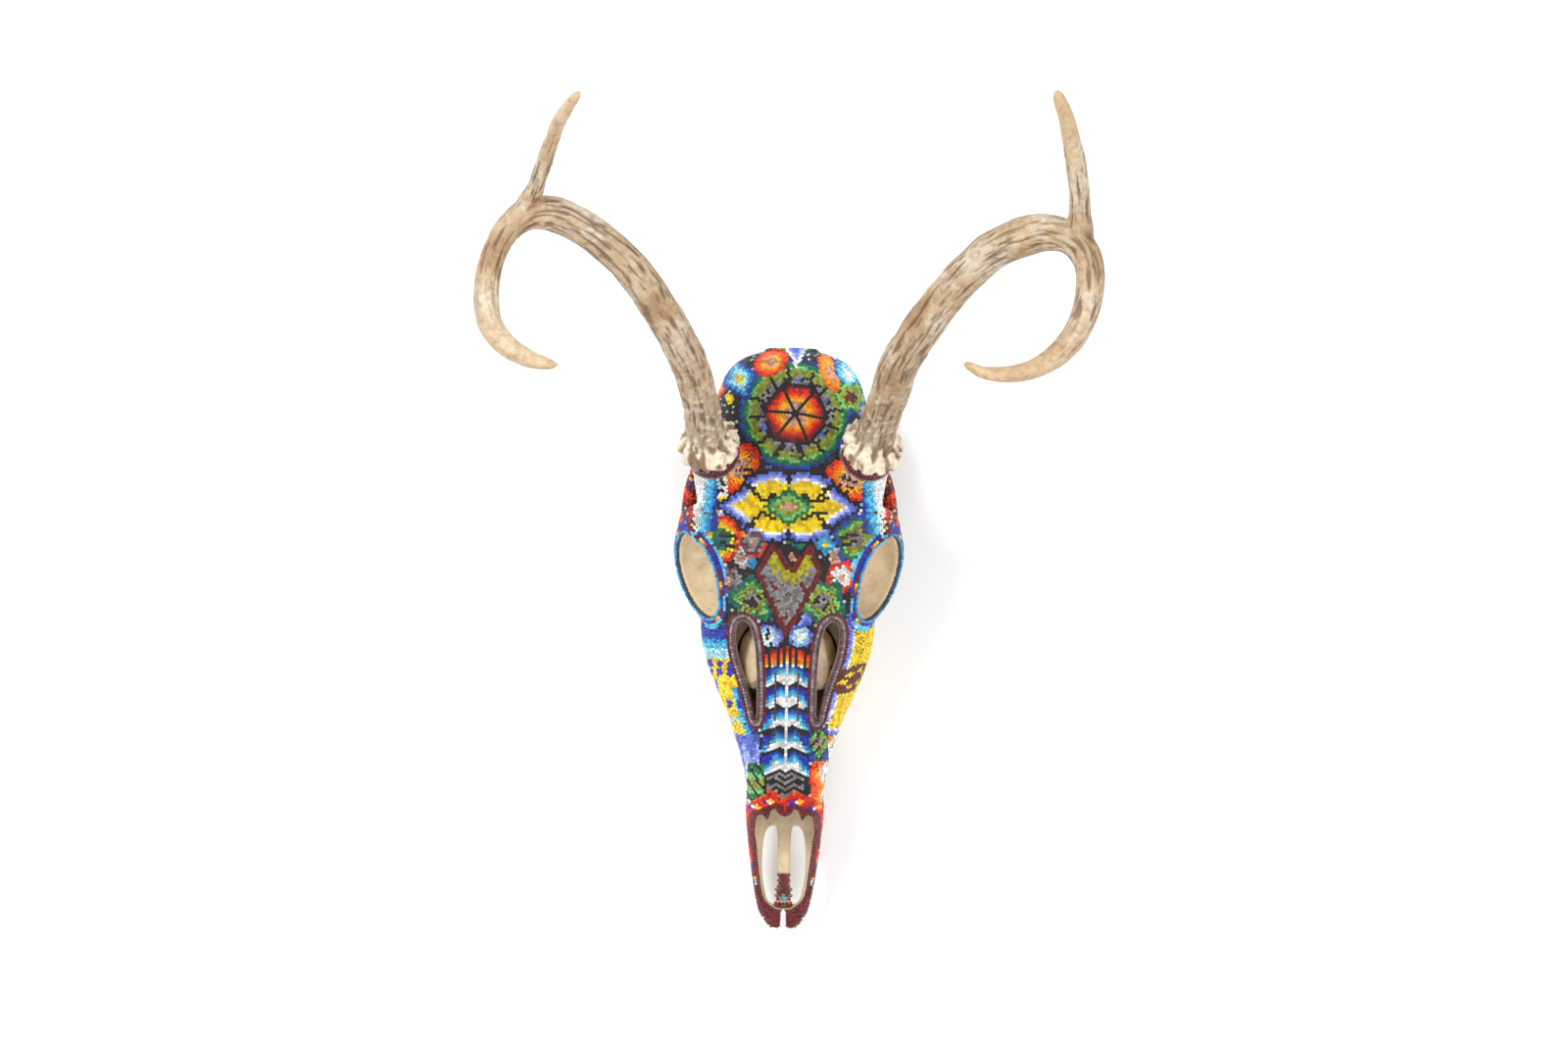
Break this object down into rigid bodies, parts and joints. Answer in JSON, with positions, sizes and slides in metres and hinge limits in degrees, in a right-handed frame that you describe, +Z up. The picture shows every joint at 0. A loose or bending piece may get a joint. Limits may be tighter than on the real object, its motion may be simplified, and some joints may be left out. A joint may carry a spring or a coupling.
{
  "type": "beaded deer skull",
  "caption": "Antlered deer skull without its lower jaw, covered by panels of glass beads pressed into wax in flower, diamond and animal-head patterns.",
  "frame": {"origin": "centre of the bounding box in plan, at the level of the chewing faces of the cheek teeth, which the skull rests on", "axes": "+Z up out of the forehead, -Y towards the nose tip, +Y towards the antler tips, +X towards the animal's left antler, which is the right one seen from above with the nose down the page"},
  "size_m": [0.2789, 0.3907, 0.2677],
  "materials": {
    "bone": "matte",
    "tooth": "satin",
    "antler": "matte",
    "beads_dark_red": "gloss",
    "beads_light_blue": "gloss",
    "beads_royal_blue": "gloss",
    "beads_mauve": "gloss",
    "beads_red": "gloss",
    "beads_grey_pink": "gloss",
    "beads_yellow": "gloss",
    "beads_turquoise": "gloss",
    "beads_periwinkle": "gloss",
    "beads_green": "gloss"
  },
  "bodies": {
    "root": {"nasal_right": "bone", "nasal_left": "bone", "premaxilla_right": "bone", "premaxilla_left": "bone", "lacrimal_right": "bone", "lacrimal_left": "bone", "zygomatic_right": "bone", "zygomatic_left": "bone", "frontal_right": "bone", "frontal_left": "bone", "temporal_right": "bone", "temporal_left": "bone", "maxilla_right": "bone", "maxilla_left": "bone", "bulla_right": "bone", "bulla_left": "bone", "nasal_scroll_right": "bone", "nasal_scroll_left": "bone", "parietal": "bone", "occipital": "bone", "sphenoid": "bone", "palatine": "bone", "nasal_septum": "bone", "premolar_1_right": "tooth", "premolar_1_left": "tooth", "premolar_2_right": "tooth", "premolar_2_left": "tooth", "premolar_3_right": "tooth", "premolar_3_left": "tooth", "molar_1_right": "tooth", "molar_1_left": "tooth", "molar_2_right": "tooth", "molar_2_left": "tooth", "molar_3_right": "tooth", "molar_3_left": "tooth", "antler_right": "antler", "antler_left": "antler", "coat_eye_rim_right": "beads_royal_blue", "coat_eye_rim_left": "beads_royal_blue", "coat_stalk_right": "beads_mauve", "coat_stalk_left": "beads_mauve", "coat_arch_right": "beads_red", "coat_arch_left": "beads_red", "coat_leaf_rim_right": "beads_grey_pink", "coat_leaf_rim_left": "beads_grey_pink", "coat_cheek_right": "beads_yellow", "coat_cheek_left": "beads_yellow", "coat_temple_right": "beads_turquoise", "coat_temple_left": "beads_turquoise", "coat_nose_tip": "beads_dark_red", "coat_nose_bridge": "beads_light_blue", "coat_brow": "beads_periwinkle", "coat_crown": "beads_green"}
  },
  "joints": []
}
